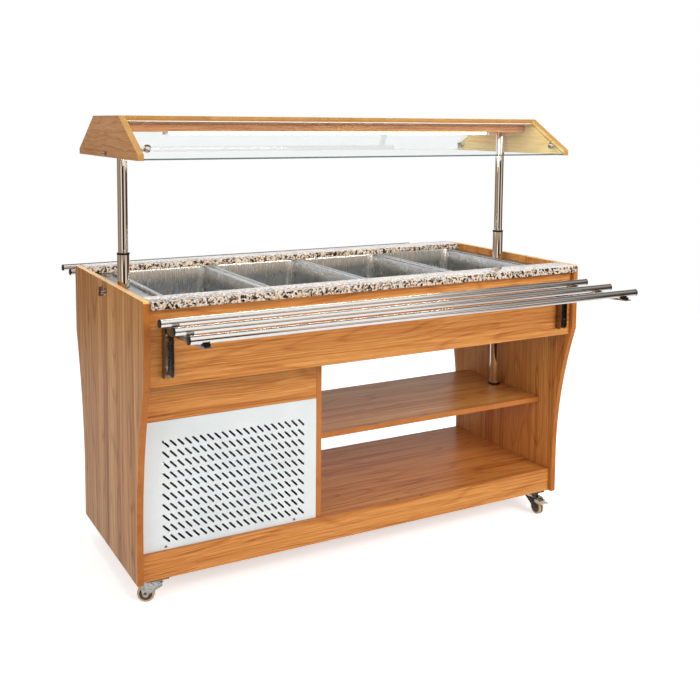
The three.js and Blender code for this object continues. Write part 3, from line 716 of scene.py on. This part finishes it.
END_FACE = 0.75
CLAMP_HEIGHT = 0.852
COLLAR = 0.0055
for side, sign, body in (("left", -1, "clamp_left"), ("right", 1, "clamp_right")):
    low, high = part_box("post_sleeve_" + side)
    middle = at((low.x + high.x) / 2, 0, 0)
    sleeve = pipe("sleeve_tube_" + side, 0.018, 0.0025, low.z + 0.001, high.z - COLLAR, middle)
    fit(sleeve, "cabinet", "polished_steel", "post_sleeve_" + side, finish=bright_tube)
    for name, radius, wall, foot, head in (
        ("post_collar_", 0.0191, 0.0034, high.z - COLLAR, high.z),
        ("post_foot_ring_", 0.0218, 0.0036, low.z + 0.0002, low.z + 0.005),
    ):
        ring = pipe(name + side, radius, wall, foot, head, middle, arris=0.0014)
        fit(ring, "cabinet", "black_plastic", finish=black_plastic)
    low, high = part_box("post_" + side)
    inner_tube = pipe("inner_tube_" + side, 0.015, 0.0015, low.z, high.z, middle)
    fit(inner_tube, "canopy", "polished_steel", "post_" + side, finish=bright_tube)
    placing = at(sign * END_FACE, 0, CLAMP_HEIGHT) @ Matrix.Rotation(0 if sign > 0 else math.pi, 4, "Z")
    for piece in (wing, boss, shank):
        name = f"clamp_{piece.name}_{side}"
        fit_copy(piece, name, placing, body, "zinc", "clamp_screw_" + side, finish=chrome)
put_away(wing, boss, shank)


# ------------------------ canopy
# The canopy has two laminated end boards, a roof board with a fascia hung on each side of the lamp, and a
# 5 mm toughened pane on each slope. Bright clips hold the panes, and a cap nut outside each end board holds it.

end_outer_laminate = laminate("canopy end laminate", ALONG_Y, [
    shade(150, 96, 54), shade(178, 124, 77), shade(193, 140, 93), shade(210, 163, 120),
], waviness=0.05, shine=0.2)
# the canopy end boards' inner faces take a far paler copy of the laminate: painted light from the lamp
lamp_lit_inner_laminate = laminate("canopy inner laminate", ALONG_Y, [
    shade(222, 156, 78), shade(250, 204, 118), shade(255, 228, 152), shade(255, 240, 186),
], waviness=0.03)
cream_banding = edge_banding("canopy banding", shade(166, 118, 58), shade(190, 146, 84))

canopy_part = ("canopy", "canopy_wood")
for side, *finishes in (
    ("left", end_outer_laminate, cream_banding, lamp_lit_inner_laminate),
    ("right", lamp_lit_inner_laminate, cream_banding, end_outer_laminate),
):
    shaped_board("canopy_board_" + side, "canopy_end_" + side, 0, *finishes, part=canopy_part)

ROOF_THICKNESS = 0.016
FASCIA_THICKNESS = 0.012
low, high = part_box("canopy_top")
under_roof = high.z - ROOF_THICKNESS
roof_corners = (low.x, low.y, under_roof), high
cut_board("roof_board", *roof_corners, "canopy_top", 2, edges=cream_banding, part=canopy_part)
fascia_laminate = laminate("fascia laminate", ALONG_X, [
    shade(142, 74, 22), shade(180, 104, 36), shade(198, 126, 50), shade(216, 150, 74),
], shine=0.15)
for side, y in (("front", -0.097), ("rear", 0.085)):
    corners = (low.x, y, low.z), (high.x, y + FASCIA_THICKNESS, under_roof)
    cut_board("fascia_" + side, *corners, "canopy_top", 1, fascia_laminate, part=canopy_part)

white_plastic = plain_finish(
    "white plastic", shade(222, 219, 208), shade(236, 234, 226), (0.35, 0.5), 90.0, 3.0
)

# toughened glass; light passes it on the way to what it shades
pane_glass, tree, shader, place = new_finish("pane glass")
film = clouded(tree, place, 14.0, 3.0)
feed(tree, shader, {
    "Base Color": tint(tree, film, [(0.3, (0.955, 0.985, 0.98)), (0.7, (0.98365, 1.0, 1.0))]),
    "Roughness": spread(tree, film, 0.0, 0.008),
    "Transmission Weight": 1.0,
    "IOR": 1.45,
})
shadow_ray = tree.nodes.new("ShaderNodeLightPath").outputs["Is Shadow Ray"]
clear = lay(tree, "BsdfTransparent", {"Color": (0.93, 0.97, 0.96, 1)})
passed_on = lay(tree, "MixShader", {0: shadow_ray, 1: shader.outputs[0], 2: clear})
tree.links.new(passed_on, tree.nodes["Material Output"].inputs["Surface"])
ground_edge = plain_finish(
    "ground glass edge", shade(58, 84, 78), shade(96, 124, 116), (0.15, 0.35), 260.0, 3.0
)

for side in ("front", "rear"):
    pane = bench_copy("glass_" + side, "glass_pane_" + side)
    ease(pane, 0.0006)
    sort_faces(pane, (pane_glass, ground_edge), lambda facet: 0 if facet.area > 0.05 or side == "rear" else 1)
    fit(pane, "canopy", "glass", "glass_" + side)

# a white strip along each pane's upper edge is a painted highlight, for the light that edge catches, and a
# brown strip above it is painted shadow in the gap under the roof board
STRIP_HALF_LENGTH = 0.7255
STRIP_INNER = 0.1362
for side, facing in (("front", -1), ("rear", 1)):
    for name, finish, outer, foot, head in (
        ("pane_trim_", white_plastic, 0.1402, 1.3504, 1.3530), ("pane_seal_", banding, 0.1390, 1.3530, 1.3562),
    ):
        near, far = sorted((facing * STRIP_INNER, facing * outer))
        strip = block(
            name + side, (-STRIP_HALF_LENGTH, near, foot), (STRIP_HALF_LENGTH, far, head), arris=0.0004
        )
        fit(strip, "canopy", "glass", finish=finish)

# a button outside each pane's corner, its back inside, and a tab that reaches the end board
CLIP_TAB_END = 0.7252
slope = math.atan2(0.1025, 0.171)
clip_button = turned("clip_button", [
    (0.0092, 0.0), (0.0094, 0.0010), (0.0090, 0.0030), (0.0070, 0.0044), (0.0036, 0.0050), (0.0006, 0.0052),
], 36)
clip_back = turned("clip_back", [
    (0.0080, -0.0150), (0.0086, -0.0144), (0.0086, -0.0062), (0.0080, -0.0056),
], 36)
for side, turn in (("front", 0), ("rear", math.pi)):
    for end, sign in (("left", -1), ("right", 1)):
        x, y, z = (0.7065 * sign + 0.0065, -0.2525, 1.2816) if turn == 0 else (-sign * 0.712, -0.2680, 1.2723)
        outward = at(x, y, z) @ pointing((0, -math.sin(slope), math.cos(slope)))
        placing = Matrix.Rotation(turn, 4, "Z") @ outward
        for part, finish in ((clip_button, bright_tube), (clip_back, chrome)):
            fit_copy(part, f"{part.name}_{side}_{end}", placing, "canopy", "polished_steel", finish=finish)
        reach = math.copysign(CLIP_TAB_END - abs(x), x)
        near, far = sorted((0, reach))
        tab = block(f"clip_tab_{side}_{end}", (near, -0.006, -0.0128), (far, 0.006, -0.0108), arris=0.0005)
        tab.data.transform(placing)
        fit(tab, "canopy", "polished_steel", finish=chrome)

bolt = turned("bolt", [
    (0.0072, 0.0), (0.0074, 0.0006), (0.0072, 0.0020), (0.0060, 0.0026), (0.0060, 0.0068), (0.0050, 0.0086),
    (0.0030, 0.0096), (0.0006, 0.0098),
], 32)
CANOPY_FACE, BOLT_HEIGHT = 0.744, 1.258
for side, sign in (("left", -1), ("right", 1)):
    placing = at(sign * CANOPY_FACE, 0, BOLT_HEIGHT) @ pointing((sign, 0, 0))
    fit_copy(bolt, "canopy_bolt_" + side, placing, "canopy", "polished_steel", finish=chrome)
put_away(clip_button, clip_back, bolt)


# ------------------------ lamp
# A slim batten with a frosted diffuser hangs in two sockets under the roof board, behind the front fascia.
# Its light is warm white, and falls on the pans and the inner faces of the canopy.

glow, tree, shader, place = new_finish("lit diffuser")
haze = clouded(tree, place, 40.0)
feed(tree, shader, {
    "Base Color": tint(tree, haze, [(0.3, shade(250, 240, 214)), (0.7, shade(255, 248, 228))]),
    "Emission Color": tint(tree, haze, [(0.3, (1.0, 0.84, 0.58)), (0.7, (1.0, 0.88, 0.66))]),
    "Emission Strength": 25.0,
})

SOCKET = 0.012
low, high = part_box("lamp")
lamp_y, lamp_z = (low.y + high.y) / 2, low.z + 0.009
batten = block(
    "lamp_batten", (low.x + SOCKET, lamp_y - 0.009, lamp_z + 0.001),
    (high.x - SOCKET, lamp_y + 0.009, lamp_z + 0.010),
)
fit(batten, "canopy", "lamp", "lamp", finish=white_plastic)
diffuser = turned("lamp_diffuser", [
    (0.0076, low.x + 0.008), (0.0080, low.x + 0.009), (0.0080, high.x - 0.009), (0.0076, high.x - 0.008),
], 32)
diffuser.data.transform(at(0, lamp_y, lamp_z) @ pointing((1, 0, 0)))
fit(diffuser, "canopy", "lamp", "lamp", finish=glow)
for side, x in (("left", low.x), ("right", high.x - SOCKET)):
    socket = block("lamp_socket_" + side, (x, low.y, low.z), (x + SOCKET, high.y, high.z), arris=0.002, steps=3)
    fit(socket, "canopy", "lamp", "lamp", finish=white_plastic)


# ------------------------ tray slides
# Each slide has three stainless tubes, closed by black plugs, on two folding arms of pressed steel. The arms
# turn on pins in wall channels screwed to the apron, and fold down against it.

rail_steel = metal("rail steel", shade(236, 233, 229), shade(242, 239, 235), (2, 60, 60), (0.10, 0.13), 0.0)
arm_steel = metal("pressed arm steel", shade(148, 147, 145), shade(182, 181, 178), (180, 60, 180), (0.2, 0.34))
# the channels' stainless steel is darkened and browned: a painted reflection of the wood round it; the arms'
# rail seats take it too
channel_steel = metal(
    "channel steel", shade(120, 108, 96), shade(160, 147, 134), (180, 180, 60), (0.2, 0.34), 0.02
)
# a paler, half-matte copy of the zinc for the brake pedals and channel screws: a painted highlight
highlight_zinc = metal(
    "white zinc", shade(214, 210, 202), shade(240, 236, 228), (200, 200, 200), (0.25, 0.4), 0.02, bareness=0.4
)
plug = turned("plug", [
    (0.0090, 0.0), (0.0090, 0.0085), (0.0109, 0.0085), (0.0110, 0.0090), (0.0110, 0.0118), (0.0098, 0.0128),
    (0.0020, 0.0130),
], 40)
cross_screw = another(screw, "cross_screw", Matrix.Scale(0.9, 4))

SEAT_HEIGHT, TIP_REACH = 0.8185, 0.58


def pick_arm_finish(facet):
    """the arm's own steel, darker on the seats of its rails and black at its tip"""
    if facet.center.z <= SEAT_HEIGHT:
        return 0
    return 2 if abs(facet.center.y) > TIP_REACH else 1


RAIL_RADIUS = 0.011
PLUG_DEPTH = 0.013
CHANNEL_FACE = 0.3488
for side, facing in (("front", -1), ("rear", 1)):
    body = side + "_slide"
    for number in (1, 2, 3):
        node = f"tray_rail_{side}_{number}"
        low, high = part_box(node)
        y, z = (low.y + high.y) / 2, (low.z + high.z) / 2
        rail = pipe(
            f"rail_tube_{side}_{number}", RAIL_RADIUS, 0.0015, low.x + 0.0045, high.x - 0.0045,
            at(0, y, z) @ pointing((1, 0, 0)),
        )
        fit(rail, body, "steel", node, finish=rail_steel)
        for end, sign, x in (("left", -1, low.x), ("right", 1, high.x)):
            placing = at(x - sign * PLUG_DEPTH, y, z) @ pointing((sign, 0, 0))
            name = f"rail_plug_{side}_{number}_{end}"
            fit_copy(plug, name, placing, body, "black_plastic", finish=black_plastic)
    for end in ("left", "right"):
        arm = bench_copy(f"tray_arm_{side}_{end}", f"slide_arm_{side}_{end}")
        ease(arm, 0.0006)
        sort_faces(arm, (arm_steel, channel_steel, black_plastic), pick_arm_finish)
        fit(arm, body, "zinc", f"tray_arm_{side}_{end}")
        node = f"bracket_channel_{side}_{end}"
        channel = bench_copy(node, f"wall_channel_{side}_{end}")
        ease(channel, 0.0005)
        fit(channel, "cabinet", "dark_metal", node, finish=channel_steel)
        low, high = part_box(node)
        for spot, z in (("upper", 0.788), ("lower", 0.700)):
            placing = at((low.x + high.x) / 2, facing * CHANNEL_FACE, z) @ pointing((0, facing, 0))
            name = f"channel_screw_{side}_{end}_{spot}"
            fit_copy(cross_screw, name, placing, "cabinet", "zinc", finish=highlight_zinc)
put_away(plug, cross_screw, screw)


# ------------------------ casters
# Each caster is a zinc-plated fork that swivels in a ball race under a square plate, with a 50 mm wheel:
# two tan rubber treads on a dark brown core. Two of the four have a foot brake.

zinc_plate = metal(
    "zinc plate", shade(140, 138, 134), shade(196, 194, 190), (120, 120, 120), (0.07, 0.16), 0.01
)
tread_rubber = plain_finish(
    "tan tread", shade(172, 142, 100), shade(206, 182, 142), (0.35, 0.6), 180.0, 5.0, 0.65, grit=(0.15, 0.0003)
)
core_plastic = plain_finish(
    "brown wheel core", shade(62, 34, 20), shade(98, 58, 36), (0.3, 0.5), 220.0, 4.0, 0.6
)

half_profile = [
    (0.0050, 0.0100), (0.0110, 0.0100), (0.0130, 0.0082), (0.0170, 0.0078), (0.0186, 0.0088), (0.0228, 0.0086),
    (0.0244, 0.0074), (0.0250, 0.0056), (0.0250, 0.0022), (0.0236, 0.0016),
]
wheel = turned("wheel", [(radius, -width) for radius, width in half_profile] + half_profile[::-1], 56)
wheel.data.transform(Matrix.Rotation(math.pi / 2, 4, "X"))
CORE_RADIUS, GROOVE_HALF = 0.0192, 0.002


def pick_wheel_finish(facet):
    """rubber round the core, and plastic in it and in the groove between the treads"""
    radius = math.hypot(facet.center.x, facet.center.z)
    return 0 if radius > CORE_RADIUS and abs(facet.center.y) > GROOVE_HALF else 1


sort_faces(wheel, (tread_rubber, core_plastic), pick_wheel_finish)

axle_end = turned("axle_end", [
    (0.0050, 0.0), (0.0056, 0.0006), (0.0056, 0.0026), (0.0048, 0.0034), (0.0014, 0.0036),
], 6)
race = turned("race", [
    (0.0195, 0.0668), (0.0232, 0.0676), (0.0236, 0.0690), (0.0232, 0.0707), (0.0195, 0.0707),
], 48)
PLATE_FOOT = 0.0708
plate = block("plate", (-0.030, -0.030, PLATE_FOOT), (0.030, 0.030, 0.0738), arris=0.0006)
plate_bolt = turned("plate_bolt", [
    (0.0044, 0.0), (0.0046, 0.0006), (0.0042, 0.0020), (0.0026, 0.0026), (0.0006, 0.0028),
], 20)

FORK_TOP = 0.0664
BOLT_REACH = 0.022
AXLE = (-0.028, 0.025)
NUT_REACH = 0.0135
for name, x, y, trail, braked in (
    ("front_left", -0.684, -0.238, 153, False), ("front_right", 0.684, -0.238, -90, True),
    ("rear_left", -0.684, 0.238, 35, True), ("rear_right", 0.684, 0.238, 120, False),
):
    standing = at(x, y, 0)
    turning = standing @ Matrix.Rotation(math.radians(trail - 180), 4, "Z")
    fit_copy(plate, "caster_plate_" + name, standing, "cabinet", "zinc", finish=zinc_plate, smooth=20)
    fit_copy(race, "caster_race_" + name, standing, "cabinet", "zinc", finish=zinc_plate)
    for number, (dx, dy) in enumerate(((-1, -1), (1, -1), (1, 1), (-1, 1)), 1):
        placing = at(x + dx * BOLT_REACH, y + dy * BOLT_REACH, PLATE_FOOT) @ pointing((0, 0, -1))
        fit_copy(plate_bolt, f"caster_bolt_{name}_{number}", placing, "cabinet", "zinc", finish=zinc_plate)
    fork = bench_copy("caster_fork_" + name, "fork_" + name)
    edit()
    bpy.ops.mesh.bisect(plane_co=(0, 0, FORK_TOP), plane_no=(0, 0, 1), use_fill=True, clear_outer=True)
    leave()
    ease(fork, 0.0006)
    fit(fork, "caster_" + name, "zinc", "caster_fork_" + name, finish=zinc_plate)
    for number, way in ((1, -1), (2, 1)):
        placing = turning @ at(AXLE[0], way * NUT_REACH, AXLE[1]) @ pointing((0, way, 0))
        fit_copy(axle_end, f"axle_nut_{name}_{number}", placing, "caster_" + name, "zinc", finish=zinc_plate)
    placing = turning @ at(AXLE[0], 0, AXLE[1])
    fit_copy(wheel, "tyre_" + name, placing, "wheel_" + name, "tread", "caster_wheel_" + name)
    if braked:
        pedal = bench_copy("brake_pedal_" + name, "pedal_" + name)
        ease(pedal, 0.0006)
        fit(pedal, "pedal_" + name, "zinc", "brake_pedal_" + name, finish=highlight_zinc)
put_away(wheel, axle_end, race, plate, plate_bolt)


# ------------------------ refrigeration unit and controls
# Behind the grilles stand a black hermetic compressor and a finned condenser with a shrouded fan. The rear
# board has a plate with the thermostat, the rocker switch and the appliance inlet.

black_shell = powder_coat("black shell", shade(22, 22, 23), shade(36, 36, 37), (0.3, 0.45))
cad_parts["compressor"].material_slots[0].material = black_shell
fins, tree, shader, place = new_finish("condenser fins")
apart = lay(tree, "SeparateXYZ", {"Vector": place})
leaf = reckon(tree, "PINGPONG", reckon(tree, "MULTIPLY", apart, 420.0), 0.5)
feed(tree, shader, {
    # pale bands are the fin edges; the narrow dark bands between them are painted shade in the gaps
    "Base Color": tint(tree, leaf, [(0.1, shade(60, 62, 64)), (0.3, shade(172, 176, 178))]),
    "Normal": dents(tree, leaf, 0.6, 0.001),
    "Roughness": spread(tree, leaf, 0.5, 0.3),
    "Metallic": 1.0,
})
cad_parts["condenser"].material_slots[0].material = fins
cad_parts["fan"].material_slots[0].material = black_plastic

low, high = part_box("control_plate")
plate_x, plate_z = (low.x + high.x) / 2, (low.z + high.z) / 2
plate_y = high.y - 0.007


def on_plate(name, across, out, half_height, arris, steps=2):
    """a block on the control plate: from and to along it, from and to out of its face, and its half height"""
    return block(
        name, (plate_x + across[0], plate_y + out[0], plate_z - half_height),
        (plate_x + across[1], plate_y + out[1], plate_z + half_height), arris, steps,
    )


def fit_control(piece, finish, *stands_for):
    """a piece of the control plate in its finish"""
    fit(piece, "cabinet", "black_plastic", *stands_for, finish=finish)


panel = block("control_panel", (low.x, plate_y, low.z), (high.x, plate_y + 0.0025, high.z), arris=0.0008)
fit_control(panel, white_coat, "control_plate")
housing = block(
    "control_housing", (plate_x - 0.082, low.y, plate_z - 0.029), (plate_x + 0.082, plate_y, plate_z + 0.029),
    arris=0.002,
)
fit_control(housing, black_plastic, "control_plate")

thermostat = on_plate("thermostat_bezel", (-0.005, 0.073), (0.002, 0.006), 0.018, arris=0.0015, steps=3)
choose(thermostat, "polygons", lambda facet: facet.normal.y > 0.95)
bpy.ops.mesh.inset(thickness=0.004)
bpy.ops.mesh.extrude_region_move(TRANSFORM_OT_translate={"value": (0, -0.001, 0)})
leave()
fit_control(thermostat, black_plastic, "control_plate")
display = plain_finish("dark display window", shade(34, 8, 8), shade(52, 12, 12), (0.06, 0.12), 30.0)
window = on_plate("thermostat_window", (0.026, 0.062), (0.0045, 0.0058), 0.010, arris=0.0004)
fit_control(window, display)
key = block("key", (-0.0035, 0, -0.0025), (0.0035, 0.0015, 0.0025), arris=0.0006)
for number, (dx, dz) in enumerate(((0.008, 0.006), (0.018, 0.006), (0.008, -0.006), (0.018, -0.006)), 1):
    placing = at(plate_x + dx, plate_y + 0.0048, plate_z + dz)
    fit_control(another(key, f"thermostat_key_{number}", placing), white_plastic)
put_away(key)

rocker_frame = on_plate("rocker_frame", (-0.034, -0.014), (0.002, 0.0042), 0.014, arris=0.0008)
fit_control(rocker_frame, black_plastic, "control_plate")
ROCKER_HALF = 0.011
green_lens = plain_finish("green rocker", shade(22, 112, 52), shade(34, 138, 66), (0.16, 0.26), 120.0)
rocker = on_plate("rocker", (-0.031, -0.017), (0.003, 0.0066), ROCKER_HALF, arris=0.0008)
edit()
bpy.ops.mesh.bisect(plane_co=(0, 0, plate_z), plane_no=(0, 0, 1))
leave()
for corner in rocker.data.vertices:
    if corner.co.y > plate_y + 0.005:
        corner.co.y -= 0.0012 * (1 - abs(corner.co.z - plate_z) / ROCKER_HALF)
fit_control(rocker, green_lens, "control_plate")

inlet = on_plate("inlet_body", (-0.079, -0.049), (0.002, 0.006), 0.012, arris=0.001)
cut_out(inlet, on_plate("inlet_hollow", (-0.076, -0.052), (0.0026, 0.02), 0.009, arris=0.002))
fit_control(inlet, black_plastic, "control_plate")
for number, (dx, dz) in enumerate(((-0.007, -0.002), (0.0, 0.003), (0.007, -0.002)), 1):
    pin = block(
        f"inlet_pin_{number}", (plate_x - 0.0645 + dx, plate_y + 0.0024, plate_z + dz - 0.002),
        (plate_x - 0.0635 + dx, plate_y + 0.0058, plate_z + dz + 0.002), arris=0.0002,
    )
    fit(pin, "cabinet", "zinc", finish=chrome)


# ------------------------ floor and light
# The salad bar stands on a plain pale floor in soft studio light: a broad key from the front right, a weaker
# fill from the left, a light overhead and an even glow all round. Bright metal mirrors a backdrop of stripes.

floor = begin(bpy.ops.mesh.primitive_plane_add, "floor", size=8)
pale_floor, tree, shader, place = new_finish("pale floor")
path = tree.nodes.new("ShaderNodeLightPath").outputs
seen = reckon(tree, "MAXIMUM", path["Is Camera Ray"], path["Is Transmission Ray"])
cloud = clouded(tree, place, 0.6)
feed(tree, shader, {
    "Base Color": tint(tree, cloud, [(0.3, (0.80, 0.80, 0.80)), (0.7, (0.82, 0.82, 0.82))]),
    "Roughness": 0.9,
    "Specular IOR Level": 0.1,
    "Emission Color": (1, 1, 1, 1),
    "Emission Strength": reckon(tree, "MULTIPLY", seen, 0.55),
})
floor.data.materials.append(pale_floor)
floor.visible_glossy = False

world = bpy.data.worlds.new("studio")
bpy.context.scene.world = world
world.use_nodes = True
tree = world.node_tree
path = tree.nodes.new("ShaderNodeLightPath").outputs
way = tree.nodes.new("ShaderNodeTexCoord").outputs["Generated"]
along, inward, height = lay(tree, "SeparateXYZ", {"Vector": way}).node.outputs
grey, beige, brown, flag, cream, pink, white, soot = (
    (0.26, 0.22, 0.17), (0.40, 0.33, 0.26), (0.07, 0.042, 0.026), (0.015, 0.013, 0.012), (1.0, 0.88, 0.72),
    (0.78, 0.66, 0.58), (1, 1, 1), (0.10, 0.085, 0.07),
)
# level with the object: upright stripes round the compass, which starts at +X and turns towards +Y
compass = reckon(tree, "FRACT", reckon(tree, "DIVIDE", reckon(tree, "ARCTAN2", inward, along), 2 * math.pi))
walls = tint(tree, compass, [
    (0.0, brown), (0.09, brown), (0.11, white), (0.235, white), (0.26, grey), (0.42, grey), (0.44, beige),
    (0.55, beige), (0.56, brown), (0.595, brown), (0.605, cream), (0.672, cream), (0.682, flag), (0.785, flag),
    (0.795, pink), (0.885, pink), (0.905, brown), (1.0, brown),
])
# above and below that: bands of light and dark in front and behind, from straight down (0) to straight up (1)
level = spread(tree, height, 0.0, 1.0, -1.0, 1.0)
front_sky = tint(tree, level, [
    (0.0, white), (0.28, white), (0.30, flag), (0.40, flag), (0.42, (0.13, 0.08, 0.05)),
    (0.5, (0.3, 0.2, 0.12)), (0.68, (0.72, 0.58, 0.44)), (0.72, white), (1.0, white),
])
front_sky = mingle(tree, 1.0, front_sky, spread(tree, along, 1.0, 0.36, 0.54, 0.68), "MULTIPLY")
back_sky = tint(tree, level, [(0.62, white), (0.71, (0.13, 0.13, 0.13))])
low_shade = tint(tree, level, [
    (0.0, white), (0.25, white), (0.28, soot), (0.40, soot), (0.42, white), (1.0, white),
])
back_sky = mingle(tree, spread(tree, along, 0.0, 1.0, -0.42, -0.52), back_sky, low_shade, "MULTIPLY")
sky = mingle(tree, spread(tree, inward, 0.0, 1.0, 0.2, -0.2), back_sky, front_sky)
over_walls = spread(tree, height, 0.0, 1.0, 0.09, 0.12)
under_walls = spread(tree, height, 0.0, 1.0, -0.20, -0.24)
mirrored = mingle(tree, reckon(tree, "MAXIMUM", over_walls, under_walls), walls, sky)
# the object is lit by an even grey, and the picture and the glass show plain white
room = mingle(tree, path["Is Glossy Ray"], (0.54, 0.54, 0.54, 1), mirrored)
plain = reckon(tree, "MAXIMUM", path["Is Camera Ray"], path["Is Transmission Ray"])
feed(tree, tree.nodes["Background"], {"Color": mingle(tree, plain, room, (1, 1, 1, 1))})


def softbox(name, place, aim_height, width, height, power):
    """a soft rectangular light, turned towards the object's middle at this height"""
    bpy.ops.object.light_add(type="AREA")
    light = bpy.context.object
    light.name = name
    light.data.shape = "RECTANGLE"
    light.data.size = width
    light.data.size_y = height
    light.data.energy = power
    light.visible_glossy = False
    facing = (Vector((0, 0, aim_height)) - Vector(place)).to_track_quat("-Z", "Y")
    light.matrix_world = Matrix.Translation(place) @ facing.to_matrix().to_4x4()


softbox("key", (1.6, -3.6, 2.6), 0.7, 2.4, 1.8, 121)
softbox("fill", (-3.2, -1.6, 1.8), 0.7, 1.6, 1.6, 28)
softbox("top", (0, 0, 3.6), 0.8, 2.6, 1.6, 55)

bpy.context.scene.view_settings.view_transform = "Standard"
